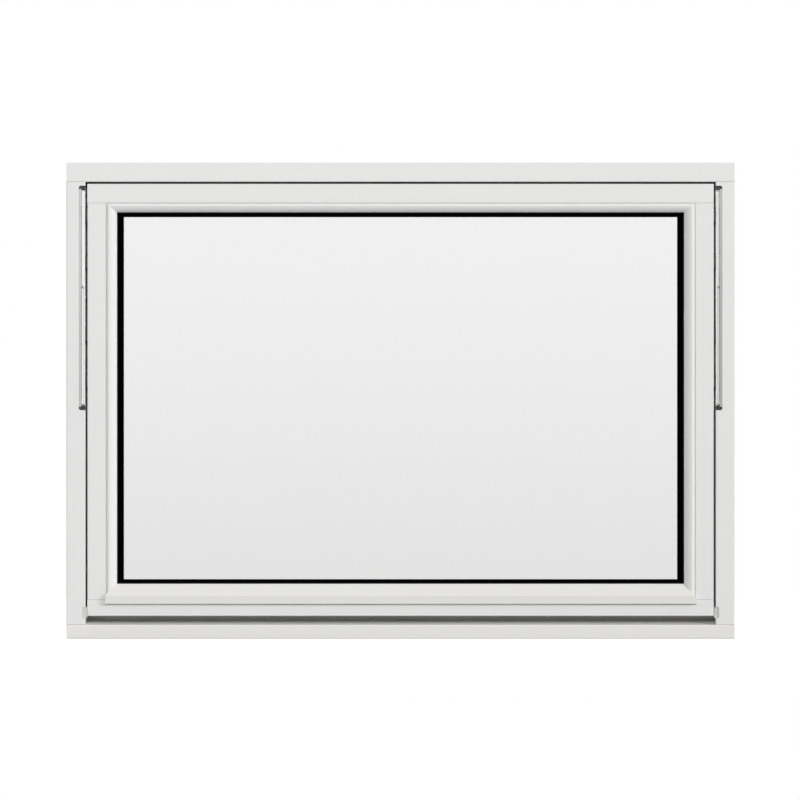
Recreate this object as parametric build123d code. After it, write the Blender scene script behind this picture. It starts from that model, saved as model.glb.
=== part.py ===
from build123d import *
import math
import os

# A white painted timber window, 1390 x 990 mm, whose sash is hung at its top on two sliding shoes and
# opens outward. X runs across the window, Y from outside into the room, Z up. The origin is at the
# middle of the sill's underside. The right-hand hardware is drawn, and the left is its mirror image.

# Frame
FRAME_WIDTH = 1390.0
FRAME_HEIGHT = 990.0
FRAME_DEPTH = 105.0
JAMB_FACE = 39.4
HEAD_FACE = 40.0
STOP_LIP = 18.0
SILL_NOSE = 28.0
SILL_FALL_DEG = 8.0
SILL_FACE_TILT = 1.4
SILL_STOP_COVER = 9.4
ARRIS = 2.0
SILL_ARRIS = 3.0
JOINT_EASE = 1.5
LINING_GROOVE_WIDTH = 10.0
LINING_GROOVE_DEPTH = 8.0
LINING_GROOVE_INSET = 8.0
DRIP_GROOVE_RADIUS = 3.0
DRIP_GROOVE_INSET = 9.0
FLASHING_GROOVE_WIDTH = 5.0
FLASHING_GROOVE_DEPTH = 8.0

# Gaps round the sash
GAP_SIDE = 4.0
GAP_TOP = 4.0
GAP_BOTTOM = 18.6
SASH_SETBACK = 3.0
STOP_GAP = 5.0

# Sash timber and glazing
SASH_DEPTH = 57.0
STILE_FACE = 38.3
TOP_RAIL_FACE = 40.0
BOTTOM_RAIL_FACE = 33.4
REBATE_STEP = 9.5
BEAD_DEPTH = 15.0
BEAD_SIDE = 22.9
BEAD_TOP = 19.0
BEAD_BOTTOM_SLOPE = 21.4
BEAD_BOTTOM_BASE = 12.0
BEAD_EDGE = 6.5
BEAD_RIDGE = 1.6
BEAD_QUIRK = 3.0
BEAD_CROWN_SHARE = 0.36
BEAD_RISE = (0.11, 1.3)
BEAD_FALL = (0.72, 1.9)
NOSE_PROUD = 7.5
NOSE_DROP = 8.0
NOSE_OVERRUN = 2.2
NOSE_LEAN = 0.6
NOSE_GROOVE_RADIUS = 1.4
RIDGE_DROP = 2.0
RIDGE_RADIUS = 5.0
FOOT_EDGE_RADIUS = 1.0
GASKET = 3.0
GASKET_INSET = 2.0
PANE = 4.0
CAVITY = 16.0
GASKET_LIP = 2.0
GLASS_COVER_SIDE = 17.9
GLASS_COVER_TOP = 15.5
BAND_SIDE = 13.6
BAND_TOP = 9.5
BAND_BOTTOM = 9.1
SPACER_WIDTH = 12.0
BLOCK_LENGTH = 100.0
BLOCK_INSET = 120.0
SEAL_INSET_SIDE = 8.0
SEAL_INSET_BOTTOM = 5.0
SEAL_INSET_TOP = 12.5
SEAL_HALF_WIDTH = 2.0
SEAL_PROUD = 3.9
SEAL_FOOT_HALF = 1.5
SEAL_FOOT_DEPTH = 5.0
SEAL_ROUND_SHARE = 0.8

# Stays, rails and shoes
HINGE_SETBACK = 10.0
PIVOT_DROP = 19.0
ARM_LENGTH = 218.0
ARM_END = 7.0
ARM_THICK = 3.2
ARM_STEP_START = 21.5
STAY_TAIL = 14.0
ARM_SCREW_SHARES = (0.35, 0.785)
PACKER = 4.9
PACKER_HALF_DEPTH = 6.0
PACKER_HALF_HEIGHT = 15.0
PACKER_CORNER = 2.0
ARM_GAP = 0.4
RAIL_CLEAR = 0.7
RAIL_WIDTH = 20.0
RAIL_HEIGHT = 5.3
RAIL_WALL = 1.4
RAIL_LIP = 1.2
RAIL_MOUTH = 9.0
RAIL_SCREW_COUNT = 4
RAIL_SCREW_LOW = 60.0
RAIL_SCREW_HIGH = 20.0
SHOE_TAIL = 34.0
SHOE_CLEAR = 0.35
SHOE_CORNER = 2.0
SHOE_NECK_TAIL = 6.0
SHOE_NECK_TOP = 3.0
END_STOP = 7.0
END_CLEAR = 1.0
SLOT_BACK_CLEAR = 2.0
SLOT_CORNER = 4.0
END_STOP_EASE = 0.5
STUD_RADIUS = 3.0
STUD_HEAD_RADIUS = 5.0
STUD_COLLAR_RADIUS = 4.5
PIVOT_RADIUS = 4.0
PIVOT_HEAD_RADIUS = 6.0
PIVOT_HEAD = 1.2
PIVOT_BLOCK = 22.0
PIVOT_BLOCK_CORNER = 2.0
PIVOT_SINK_CLEAR = 0.3
RIVET_EASE = 0.5
RUNNING_FIT = 0.05
FACE_CLEAR = 0.1

# Lock
THROW_RADIUS = 9.0
GEAR_TEETH = 15
PRESSURE_ANGLE_DEG = 20.0
GEAR_ADDENDUM_SHARE = 0.85
GEAR_DEDENDUM_SHARE = 1.1
FLANK_STEPS = 4
SPINDLE_DROP = 17.5
BOLT_RISE = 7.4
BOLT_RADIUS = 4.0
BOLT_SETBACK = 0.6
BOLT_FORWARD = 7.5
BOLT_LENGTH = 60.0
BOLT_EASE = 1.0
BOLT_LAP = 10.0
ROD_WIDTH = 8.0
ROD_HEIGHT = 6.0
RACK_BACKLASH = 0.35
RACK_ADDENDUM_SHARE = 0.7
RACK_DEDENDUM_SHARE = 1.25
RACK_SPAN = 24.0
RACK_HEEL = 12.0
RACK_TOOTH_END = 8.0
RACK_MARGIN = 2.0
RACK_BACK = 2.4
CRANK_START = 4.0
CRANK_END = 12.0
GEAR_WIDTH = 8.0
HUB_RADIUS = 6.6
ROD_CLEAR = 0.4
CASE_WIDTH = 16.0
CASE_WALL = 1.2
CASE_LEFT = 46.0
CASE_RIGHT = 64.0
LOCK_GROOVE_HEIGHT = 13.4
FACEPLATE = 2.0
FACEPLATE_WING = 6.0
BUSH_RADIUS = 6.0
BUSH_LENGTH = 15.0
SPINDLE_SQUARE = 7.0
ROSE_LENGTH = 112.0
ROSE_HEIGHT = 27.0
ROSE_THICK = 8.0
ROSE_EASE = 2.5
ROSE_SCREW_INSET = 17.0
NECK_RADIUS = 9.0
NECK_START = 1.0
KNUCKLE_RADIUS = 11.0
LEVER_LENGTH = 118.0
LEVER_STANDOFF = 38.0
LEVER_SECTIONS = ((0.0, 11.0, 6.5), (0.45, 9.0, 5.5), (0.8, 9.6, 5.2), (1.0, 7.0, 4.0))
LEVER_TIP_EASE = 2.5
LEVER_BORE_COVER = 4.0
SPINDLE_COVER = 5.0
KEEP_HEIGHT = 22.5
KEEP_RECESS = 6.9
KEEP_PROUD = 3.3
KEEP_FRONT = 2.5
KEEP_LENGTH = 45.0
KEEP_EASE = 1.5
KEEP_MOUTH_CLEAR = 1.0
KEEP_POCKET_CLEAR = 2.0
KEEP_POCKET_DEPTH = 6.0

# Fasteners, each as (shank radius, head radius, length)
CORNER_SCREW = (2.5, 4.8, 70.0)
RAIL_SCREW = (1.8, 3.6, 22.0)
ARM_SCREW = (2.0, 3.8, 25.0)
KEEP_SCREW = (1.8, 3.4, 20.0)
FACEPLATE_SCREW = (1.6, 3.2, 18.0)
ROSE_SCREW = (2.0, 3.8, 22.0)
SCREW_POINT_RADIUS = 0.4
CORNER_SCREW_EDGE = 12.0
CORNER_SCREW_FRONT = 17.0
CORNER_SCREW_REAR = 20.0
KEEP_SCREW_FRONT = 8.0
KEEP_SCREW_REAR = 6.0
FACEPLATE_SCREW_START = 120.0
FACEPLATE_SCREW_INSET = 12.0
DOWEL_RADIUS = 4.0
DOWEL_LENGTH = 50.0
DOWEL_REAR_INSET = 8.0
PIN_RADIUS = 0.8
PIN_LENGTH = 24.0
PIN_START = 9.0
PIN_SETBACK = 5.0
PIN_SIDE_ROWS = 4
PIN_SIDE_MARGIN = 60.0
PIN_LONG_ROWS = 5
PIN_LONG_MARGIN = 70.0
FIXING_HOLE_RADIUS = 4.0
FIXING_SINK_RADIUS = 8.0
FIXING_SINK_DEPTH = 10.0
FIXING_PITCH = 345.0
FIXING_COUNT = 3

# Planes across the depth
FRONT = -FRAME_DEPTH / 2
BACK = FRAME_DEPTH / 2
SASH_FRONT = FRONT + SASH_SETBACK
SASH_BACK = SASH_FRONT + SASH_DEPTH
STOP_FACE = SASH_BACK + STOP_GAP
BEAD_SEAT = SASH_FRONT + BEAD_DEPTH
OUTER_PANE = BEAD_SEAT + GASKET
INNER_PANE = OUTER_PANE + PANE + CAVITY
LIP_FACE = INNER_PANE + PANE + GASKET
HINGE_Y = SASH_FRONT + HINGE_SETBACK
BOLT_Y = (BEAD_SEAT + SASH_BACK) / 2 - BOLT_FORWARD
SLOT_BACK = HINGE_Y + RAIL_WIDTH / 2 + SLOT_BACK_CLEAR

# Lines across the width and height
FRAME_HALF = FRAME_WIDTH / 2
JAMB_IN = FRAME_HALF - JAMB_FACE
HEAD_UNDER = FRAME_HEIGHT - HEAD_FACE
SASH_HALF = JAMB_IN - GAP_SIDE
SASH_TOP = HEAD_UNDER - GAP_TOP
SASH_BOTTOM = SILL_NOSE + GAP_BOTTOM
SILL_STOP_TOP = SASH_BOTTOM + SILL_STOP_COVER
REBATE = (SASH_HALF - STILE_FACE, SASH_BOTTOM + BOTTOM_RAIL_FACE, SASH_TOP - TOP_RAIL_FACE)
SIGHT = (REBATE[0] - BEAD_SIDE, REBATE[1] + BEAD_BOTTOM_BASE + BEAD_BOTTOM_SLOPE, REBATE[2] - BEAD_TOP)
GLASS = (SIGHT[0] + GLASS_COVER_SIDE, SIGHT[1] - GLASS_COVER_SIDE, SIGHT[2] + GLASS_COVER_TOP)
CLEAR = (SIGHT[0] - BAND_SIDE, SIGHT[1] + BAND_BOTTOM, SIGHT[2] - BAND_TOP)
GLASS_FLOOR = REBATE[1] + REBATE_STEP
SEAL_LINE = (SASH_HALF - SEAL_INSET_SIDE, SASH_BOTTOM + SEAL_INSET_BOTTOM, SASH_TOP - SEAL_INSET_TOP)

# Hardware layers across the slot, counted outward from the sash's edge
SASH_ARM_IN = SASH_HALF + PACKER
SASH_ARM_OUT = SASH_ARM_IN + ARM_THICK
STAY_IN = SASH_ARM_OUT + ARM_GAP
STAY_OUT = STAY_IN + ARM_THICK
RAIL_IN = STAY_OUT + RAIL_CLEAR
SLOT_FLOOR = RAIL_IN + RAIL_HEIGHT
RAIL_BASE = SLOT_FLOOR - RAIL_WALL

# Heights of the stay geometry
SHOE_Z = SASH_TOP - PIVOT_DROP
FIXED_Z = SHOE_Z - 2 * ARM_LENGTH
MIDDLE_Z = SHOE_Z - ARM_LENGTH
ARM_TOP = SHOE_Z + ARM_END
ARM_BOTTOM = FIXED_Z - ARM_END - END_CLEAR
ARM_STEP_Z = MIDDLE_Z + ARM_STEP_START
RAIL_TOP = ARM_TOP + END_CLEAR
RAIL_BOTTOM = ARM_BOTTOM - END_CLEAR
SLOT_TOP = RAIL_TOP + END_STOP
SLOT_BOTTOM = RAIL_BOTTOM - END_STOP

# Heights of the lock
SPINDLE_Z = GLASS_FLOOR - SPINDLE_DROP
BOLT_Z = SASH_BOTTOM + BOLT_RISE
GEAR_MODULE = 2 * THROW_RADIUS / GEAR_TEETH
TOOTH_PITCH = math.pi * GEAR_MODULE
RACK_ADDENDUM = RACK_ADDENDUM_SHARE * GEAR_MODULE
RACK_DEDENDUM = RACK_DEDENDUM_SHARE * GEAR_MODULE
PRESSURE_ANGLE = math.radians(PRESSURE_ANGLE_DEG)
ROD_Y = (BOLT_Y - ROD_WIDTH / 2, BOLT_Y + ROD_WIDTH / 2)
ROD_Z = (BOLT_Z - ROD_HEIGHT / 2, BOLT_Z + ROD_HEIGHT / 2)
ROD_END = SASH_HALF - BOLT_SETBACK - BOLT_LENGTH + BOLT_LAP
CASE_TOP = SPINDLE_Z + THROW_RADIUS + RACK_DEDENDUM + RACK_BACK + ROD_CLEAR + CASE_WALL
LOCK_GROOVE_TOP = SASH_BOTTOM + LOCK_GROOVE_HEIGHT
CASE_FLOOR = SASH_BOTTOM + FACEPLATE


def box(x, y, z):
    """A block between the given (low, high) pairs."""
    size = Box(x[1] - x[0], y[1] - y[0], z[1] - z[0], align=(Align.MIN, Align.MIN, Align.MIN))
    return Pos(x[0], y[0], z[0]) * size


def rod(radius, start, end):
    """A round bar from one point to another along an axis."""
    axis = Vector(*end) - Vector(*start)
    plane = Plane(origin=start, z_dir=axis)
    return plane * Cylinder(radius, axis.length, align=(Align.CENTER, Align.CENTER, Align.MIN))


def cone(radius_start, radius_end, start, end):
    """A tapered round bar from one point to another."""
    axis = Vector(*end) - Vector(*start)
    plane = Plane(origin=start, z_dir=axis)
    flat = (Align.CENTER, Align.CENTER, Align.MIN)
    return plane * Cone(radius_start, radius_end, axis.length, align=flat)


def section_x(points, radii, half_length):
    """A bar along X with a section drawn in Y and Z, its corners rounded."""
    outline = FilletPolyline(*points, radius=radii, close=True)
    return extrude(Plane.YZ * make_face(outline), amount=half_length, both=True)


def section_z(points, radii, low, high):
    """A bar along Z with a section drawn in X and Y, its corners rounded."""
    outline = FilletPolyline(*points, radius=radii, close=True)
    return Pos(0, 0, low) * extrude(make_face(outline), amount=high - low)


def prism_y(points, y):
    """A prism along Y over an outline in X and Z."""
    face = make_face(Polyline(*[(px, 0, pz) for px, pz in points], close=True))
    return extrude(Pos(0, y[0], 0) * face, amount=y[1] - y[0], dir=(0, 1, 0))


def loop(outer, inner, y):
    """A rectangular loop between two sight lines given as (half width, bottom, top)."""
    body = box((-outer[0], outer[0]), y, (outer[1], outer[2]))
    return body - box((-inner[0], inner[0]), y, (inner[1], inner[2]))


def inset(line, amount):
    """A sight line moved inward by an amount, or outward if it is negative."""
    return (line[0] - amount, line[1] + amount, line[2] - amount)


def screw(size, head_point, direction, clearance=0.0):
    """A countersunk screw whose head is flush at the given point."""
    shank, head, length = size
    start = Vector(*head_point)
    way = Vector(*direction)
    sink = head - shank
    tip = shank
    body = rod(shank + clearance, start, start + way * (length - tip))
    body += cone(head + clearance, shank + clearance, start, start + way * sink)
    point = SCREW_POINT_RADIUS + clearance
    return body + cone(shank + clearance, point, start + way * (length - tip), start + way * length)


def both_sides(shape):
    """A shape with its mirror image on the left."""
    return [shape, mirror(shape, about=Plane.YZ)]


def union(shapes):
    """Several shapes in one, kept as a list of solids."""
    return Compound(children=[solid for shape in shapes for solid in shape.solids()])


def cut(shape, tools):
    """A shape less each of the tools."""
    for tool in tools:
        shape = shape - tool
    return shape


# Where the fasteners go
def corner_screw_places():
    """Head points and directions of the screws through head and sill into the jambs."""
    x = FRAME_HALF - CORNER_SCREW_EDGE
    depth_places = (FRONT + CORNER_SCREW_FRONT, BACK - CORNER_SCREW_REAR)
    top = [((x, y, FRAME_HEIGHT), (0, 0, -1)) for y in depth_places]
    return top + [((x, y, 0.0), (0, 0, 1)) for y in depth_places]


def rail_screw_heights():
    """Screws along each rail, clear of the shoe's ends."""
    low = FIXED_Z + RAIL_SCREW_LOW
    high = RAIL_TOP - RAIL_SCREW_HIGH
    return [low + (high - low) * i / (RAIL_SCREW_COUNT - 1) for i in range(RAIL_SCREW_COUNT)]


def arm_screw_heights():
    """Screws of each sash arm, two above the middle pivot and two below it."""
    return [MIDDLE_Z + way * share * ARM_LENGTH for way in (1, -1) for share in ARM_SCREW_SHARES]


def keep_screw_depths():
    """Depths of the two screws of each keep, either side of the bolt hole."""
    front = FRONT + KEEP_FRONT
    return [front + KEEP_SCREW_FRONT, front + KEEP_LENGTH - KEEP_SCREW_REAR]


def faceplate_screw_offsets():
    """Places of the faceplate's screws along the bottom rail."""
    end = SASH_HALF - BUSH_LENGTH
    start = FACEPLATE_SCREW_START
    return [start, (start + end) / 2, end - FACEPLATE_SCREW_INSET]


def fixing_heights():
    """Heights of the fixing holes through each jamb."""
    middle = FRAME_HEIGHT / 2
    return [middle + FIXING_PITCH * (i - (FIXING_COUNT - 1) / 2) for i in range(FIXING_COUNT)]


def dowel_places():
    """Middle points of the right-hand dowels in the sash's corners."""
    x = SASH_HALF - STILE_FACE / 2
    front = SASH_FRONT + BEAD_DEPTH / 2
    rear = LIP_FACE - DOWEL_REAR_INSET
    return [(x, front, REBATE[1]), (x, rear, GLASS_FLOOR), (x, front, REBATE[2]), (x, rear, REBATE[2])]


def pin_places():
    """Start points and directions of the bead pins, from inside the bead into the sash timber."""
    y = BEAD_SEAT - PIN_SETBACK
    places = []
    for i in range(PIN_SIDE_ROWS):
        span = SIGHT[2] - SIGHT[1] - 2 * PIN_SIDE_MARGIN
        z = SIGHT[1] + PIN_SIDE_MARGIN + span * i / (PIN_SIDE_ROWS - 1)
        places += [((side * (REBATE[0] - PIN_START), y, z), (side, 0, 0)) for side in (1, -1)]
    for i in range(PIN_LONG_ROWS):
        x = (SIGHT[0] - PIN_LONG_MARGIN) * (2 * i / (PIN_LONG_ROWS - 1) - 1)
        places.append(((x, y, REBATE[2] - PIN_START), (0, 0, 1)))
        places.append(((x, y, REBATE[1] + PIN_START), (0, 0, -1)))
    return places


# Cutting tools shared by the timber and what sits in it
def sill_top(y):
    """Height of the weathered sill at a depth."""
    return SILL_NOSE + (y - FRONT) * math.tan(math.radians(SILL_FALL_DEG))


def head_points():
    return [(FRONT, HEAD_UNDER), (FRONT, FRAME_HEIGHT), (BACK, FRAME_HEIGHT),
            (BACK, HEAD_UNDER - STOP_LIP), (STOP_FACE, HEAD_UNDER - STOP_LIP), (STOP_FACE, HEAD_UNDER)]


def sill_points():
    return [(FRONT + SILL_FACE_TILT, 0), (FRONT, SILL_NOSE), (STOP_FACE, sill_top(STOP_FACE)),
            (STOP_FACE, SILL_STOP_TOP), (BACK, SILL_STOP_TOP), (BACK, 0)]


def lining_groove():
    """The groove for the lining boards, a loop in the frame's room face."""
    stops = (JAMB_IN - STOP_LIP, SILL_STOP_TOP, HEAD_UNDER - STOP_LIP)
    inner = inset(stops, -LINING_GROOVE_INSET)
    outer = inset(inner, -LINING_GROOVE_WIDTH)
    return loop(outer, inner, (BACK - LINING_GROOVE_DEPTH, BACK))


def slot():
    """The slot in the right jamb's outer arris for the rail and the arms."""
    body = box((JAMB_IN - STOP_LIP, SLOT_FLOOR), (FRONT, SLOT_BACK), (SLOT_BOTTOM, SLOT_TOP))
    floor_corners = body.edges().filter_by(Axis.Y).sort_by(Axis.X)[-2:]
    return fillet(floor_corners, SLOT_CORNER)


def keep_block():
    """Outline of the right bolt keep, without its holes."""
    front = FRONT + KEEP_FRONT
    x = (JAMB_IN - KEEP_PROUD, JAMB_IN + KEEP_RECESS)
    z = (BOLT_Z - KEEP_HEIGHT / 2, BOLT_Z + KEEP_HEIGHT / 2)
    return box(x, (front, front + KEEP_LENGTH), z)


def keep_screws(clearance=0.0):
    head = JAMB_IN - KEEP_PROUD
    places = [((head, y, BOLT_Z), (1, 0, 0)) for y in keep_screw_depths()]
    return [screw(KEEP_SCREW, point, way, clearance) for point, way in places]


def rail_screws(clearance=0.0):
    return [screw(RAIL_SCREW, (RAIL_BASE, HINGE_Y, z), (1, 0, 0), clearance) for z in rail_screw_heights()]


def corner_screws(clearance=0.0):
    return [screw(CORNER_SCREW, point, way, clearance) for point, way in corner_screw_places()]


def arm_screws(clearance=0.0):
    """Screws of the right sash arm, their heads flush with its thick upper part or its thin lower part."""
    heights = arm_screw_heights()
    heads = [(STAY_OUT if z > ARM_STEP_Z else SASH_ARM_OUT, HINGE_Y, z) for z in heights]
    return [screw(ARM_SCREW, head, (-1, 0, 0), clearance) for head in heads]


def foot_ease(front, z, half_length):
    """The ease along an upright's front edge where it stands on the member below."""
    points = [(front, z), (front, z + JOINT_EASE), (front + JOINT_EASE, z)]
    return section_x(points, 0, half_length)


def dowels(clearance=0.0):
    half = DOWEL_LENGTH / 2 + clearance
    return [rod(DOWEL_RADIUS + clearance, (x, y, z - half), (x, y, z + half)) for x, y, z in dowel_places()]


def bead_pins(clearance=0.0):
    tools = []
    for point, way in pin_places():
        start = Vector(*point)
        tools.append(rod(PIN_RADIUS + clearance, start, start + Vector(*way) * (PIN_LENGTH + clearance)))
    return tools


def seal_foot(clearance=0.0):
    """The foot of the weatherseal in its groove round the sash's room face."""
    half = SEAL_FOOT_HALF + clearance
    depth = SASH_BACK - SEAL_FOOT_DEPTH - clearance
    return loop(inset(SEAL_LINE, -half), inset(SEAL_LINE, half), (depth, SASH_BACK))


# Frame
def frame_head():
    radii = [ARRIS, ARRIS, ARRIS, ARRIS, ARRIS, 0]
    body = section_x(head_points(), radii, FRAME_HALF)
    tools = [tool for screw_hole in corner_screws(RUNNING_FIT) for tool in both_sides(screw_hole)]
    return cut(body - lining_groove(), tools)


def frame_sill():
    radii = [ARRIS, SILL_ARRIS, 0, ARRIS, ARRIS, ARRIS]
    body = section_x(sill_points(), radii, FRAME_HALF) - lining_groove()
    drip = rod(DRIP_GROOVE_RADIUS, (-FRAME_HALF, FRONT + DRIP_GROOVE_INSET, 0),
               (FRAME_HALF, FRONT + DRIP_GROOVE_INSET, 0))
    flashing = box((-FRAME_HALF, FRAME_HALF), (STOP_FACE, STOP_FACE + FLASHING_GROOVE_WIDTH),
                   (0, FLASHING_GROOVE_DEPTH))
    tools = [tool for screw_hole in corner_screws(RUNNING_FIT) for tool in both_sides(screw_hole)]
    return cut(body - drip - flashing, tools)


def frame_jamb():
    """The right jamb, cut to the head and the sill, with its slot, keep recess and fixing holes."""
    points = [(JAMB_IN, FRONT), (FRAME_HALF, FRONT), (FRAME_HALF, BACK), (JAMB_IN - STOP_LIP, BACK),
              (JAMB_IN - STOP_LIP, STOP_FACE), (JAMB_IN, STOP_FACE)]
    radii = [ARRIS, ARRIS, ARRIS, ARRIS, ARRIS, 0]
    body = section_z(points, radii, SILL_NOSE, FRAME_HEIGHT)
    head = section_x(head_points(), 0, FRAME_HALF)
    sill = section_x(sill_points(), 0, FRAME_HALF)
    body = body - head - sill - lining_groove() - slot() - foot_ease(FRONT, SILL_NOSE, FRAME_HALF)
    recess = box((JAMB_IN, JAMB_IN + KEEP_RECESS), (FRONT, FRONT + KEEP_FRONT + KEEP_LENGTH),
                 (BOLT_Z - KEEP_HEIGHT / 2, BOLT_Z + KEEP_HEIGHT / 2))
    pocket = rod(BOLT_RADIUS + KEEP_POCKET_CLEAR, (JAMB_IN, BOLT_Y, BOLT_Z),
                 (JAMB_IN + KEEP_RECESS + KEEP_POCKET_DEPTH, BOLT_Y, BOLT_Z))
    fixing_y = (SLOT_BACK + STOP_FACE) / 2
    fixings = []
    for z in fixing_heights():
        fixings.append(rod(FIXING_HOLE_RADIUS, (JAMB_IN, fixing_y, z), (FRAME_HALF, fixing_y, z)))
        sink_end = (JAMB_IN + FIXING_SINK_DEPTH, fixing_y, z)
        fixings.append(rod(FIXING_SINK_RADIUS, (JAMB_IN, fixing_y, z), sink_end))
    screw_holes = corner_screws(RUNNING_FIT) + rail_screws(RUNNING_FIT) + keep_screws(RUNNING_FIT)
    return cut(body, [recess, pocket] + fixings + screw_holes)


def guide_rail():
    """The right rail, a lipped channel open towards the sash, its lips cut away at the fixed pivot."""
    low = HINGE_Y - RAIL_WIDTH / 2
    high = HINGE_Y + RAIL_WIDTH / 2
    body = box((RAIL_IN, SLOT_FLOOR), (low, high), (RAIL_BOTTOM, RAIL_TOP))
    body -= box((RAIL_IN + RAIL_LIP, RAIL_BASE), (low + RAIL_WALL, high - RAIL_WALL), (RAIL_BOTTOM, RAIL_TOP))
    mouth = RAIL_MOUTH / 2
    body -= box((RAIL_IN, RAIL_IN + RAIL_LIP), (HINGE_Y - mouth, HINGE_Y + mouth), (RAIL_BOTTOM, RAIL_TOP))
    block_y = (low + RAIL_WALL, high - RAIL_WALL)
    body -= box((RAIL_IN, RAIL_BASE), block_y, (RAIL_BOTTOM, FIXED_Z + PIVOT_BLOCK))
    return cut(body, rail_screws(RUNNING_FIT))


def fixed_pivot():
    """The block in the rail's foot with the stud that the stay turns on."""
    low = HINGE_Y - RAIL_WIDTH / 2 + RAIL_WALL
    high = HINGE_Y + RAIL_WIDTH / 2 - RAIL_WALL
    block = box((RAIL_IN, RAIL_BASE), (low, high), (RAIL_BOTTOM, FIXED_Z + PIVOT_BLOCK))
    ends = block.edges().filter_by(Axis.X).sort_by(Axis.Z)[-2:]
    body = fillet(ends, PIVOT_BLOCK_CORNER)
    body += rod(PIVOT_HEAD_RADIUS, (STAY_OUT + FACE_CLEAR, HINGE_Y, FIXED_Z), (RAIL_IN, HINGE_Y, FIXED_Z))
    head = STAY_IN + FACE_CLEAR
    body += rod(PIVOT_RADIUS, (head, HINGE_Y, FIXED_Z), (RAIL_IN, HINGE_Y, FIXED_Z))
    return body + rod(PIVOT_HEAD_RADIUS, (head, HINGE_Y, FIXED_Z), (head + PIVOT_HEAD, HINGE_Y, FIXED_Z))


def rail_end_stops():
    """Black end stops that close the slot above and below the rail."""
    y = (HINGE_Y - RAIL_WIDTH / 2, HINGE_Y + RAIL_WIDTH / 2)
    x = (SASH_ARM_IN, SLOT_FLOOR)
    stops = []
    for z, corner in (((RAIL_TOP, SLOT_TOP), -1), ((SLOT_BOTTOM, RAIL_BOTTOM), 0)):
        block = box(x, y, z)
        edge = block.edges().filter_by(Axis.Y).sort_by(Axis.X)[-2:].sort_by(Axis.Z)[corner]
        stops.append(fillet(edge, SLOT_CORNER + END_STOP_EASE))
    return union([side for stop in stops for side in both_sides(stop)])


def bolt_keep():
    """The right keep, a cast block with the bolt's mouth and an eased front."""
    body = keep_block()
    nose = body.edges().filter_by(Axis.Z).group_by(Axis.X)[0]
    body = fillet(nose, KEEP_EASE)
    mouth = rod(BOLT_RADIUS + KEEP_MOUTH_CLEAR, (JAMB_IN - KEEP_PROUD, BOLT_Y, BOLT_Z),
                (JAMB_IN + KEEP_RECESS, BOLT_Y, BOLT_Z))
    return cut(body - mouth, keep_screws(RUNNING_FIT))


# Stays and shoes
def flat_arm(x, low, high):
    """A flat bar with round ends, its end centres at the two heights."""
    body = box(x, (HINGE_Y - ARM_END, HINGE_Y + ARM_END), (low, high))
    body += rod(ARM_END, (x[0], HINGE_Y, low), (x[1], HINGE_Y, low))
    return body + rod(ARM_END, (x[0], HINGE_Y, high), (x[1], HINGE_Y, high))


def stay_arm():
    """The right stay, from the fixed pivot up past the middle of the sash arm."""
    body = flat_arm((STAY_IN, STAY_OUT), FIXED_Z, MIDDLE_Z + STAY_TAIL)
    fit = PIVOT_RADIUS + RUNNING_FIT
    for z in (FIXED_Z, MIDDLE_Z):
        body -= rod(fit, (STAY_IN, HINGE_Y, z), (STAY_OUT, HINGE_Y, z))
    sink_end = STAY_IN + FACE_CLEAR + PIVOT_HEAD + FACE_CLEAR
    sink = PIVOT_HEAD_RADIUS + PIVOT_SINK_CLEAR
    return body - rod(sink, (STAY_IN, HINGE_Y, FIXED_Z), (sink_end, HINGE_Y, FIXED_Z))


def stay_rivet():
    """The rivet that joins the stay to the sash arm."""
    inner = SASH_ARM_IN - FACE_CLEAR
    body = rod(PIVOT_RADIUS, (inner, HINGE_Y, MIDDLE_Z), (STAY_OUT, HINGE_Y, MIDDLE_Z))
    head = rod(PIVOT_HEAD_RADIUS, (inner - PIVOT_HEAD, HINGE_Y, MIDDLE_Z), (inner, HINGE_Y, MIDDLE_Z))
    rim = head.edges().filter_by(GeomType.CIRCLE).sort_by(Axis.X)[0]
    return body + chamfer(rim, RIVET_EASE)


def shoe():
    """The right shoe: a tongue in the rail, a neck through its mouth and the stud for the sash arm."""
    z = (SHOE_Z - SHOE_TAIL, ARM_TOP)
    half = RAIL_WIDTH / 2 - RAIL_WALL - SHOE_CLEAR
    tongue_x = (RAIL_IN + RAIL_LIP + SHOE_CLEAR, RAIL_BASE - SHOE_CLEAR)
    body = box(tongue_x, (HINGE_Y - half, HINGE_Y + half), z)
    body = fillet(body.edges().filter_by(Axis.X), SHOE_CORNER)
    neck = RAIL_MOUTH / 2 - SHOE_CLEAR
    face = STAY_OUT + FACE_CLEAR
    neck_z = (z[0] + SHOE_NECK_TAIL, z[1] - SHOE_NECK_TOP)
    body += box((face, tongue_x[0]), (HINGE_Y - neck, HINGE_Y + neck), neck_z)
    inner = SASH_ARM_IN - FACE_CLEAR
    body += rod(STUD_COLLAR_RADIUS, (SASH_ARM_OUT + FACE_CLEAR, HINGE_Y, SHOE_Z), (face, HINGE_Y, SHOE_Z))
    body += rod(STUD_RADIUS, (inner, HINGE_Y, SHOE_Z), (face, HINGE_Y, SHOE_Z))
    return body + rod(STUD_HEAD_RADIUS, (inner - PIVOT_HEAD, HINGE_Y, SHOE_Z), (inner, HINGE_Y, SHOE_Z))


# Sash
def sash_tools():
    """Holes that the sash's timber shares: dowels, pins, arm screws and the seal's groove."""
    tools = [seal_foot(RUNNING_FIT)] + bead_pins(RUNNING_FIT)
    for tool in dowels(RUNNING_FIT) + arm_screws(RUNNING_FIT):
        tools += both_sides(tool)
    return tools


def top_rail_points():
    return [(SASH_FRONT, REBATE[2]), (SASH_FRONT, SASH_TOP), (SASH_BACK, SASH_TOP),
            (SASH_BACK, SIGHT[2]), (LIP_FACE, SIGHT[2]), (LIP_FACE, REBATE[2])]


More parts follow.
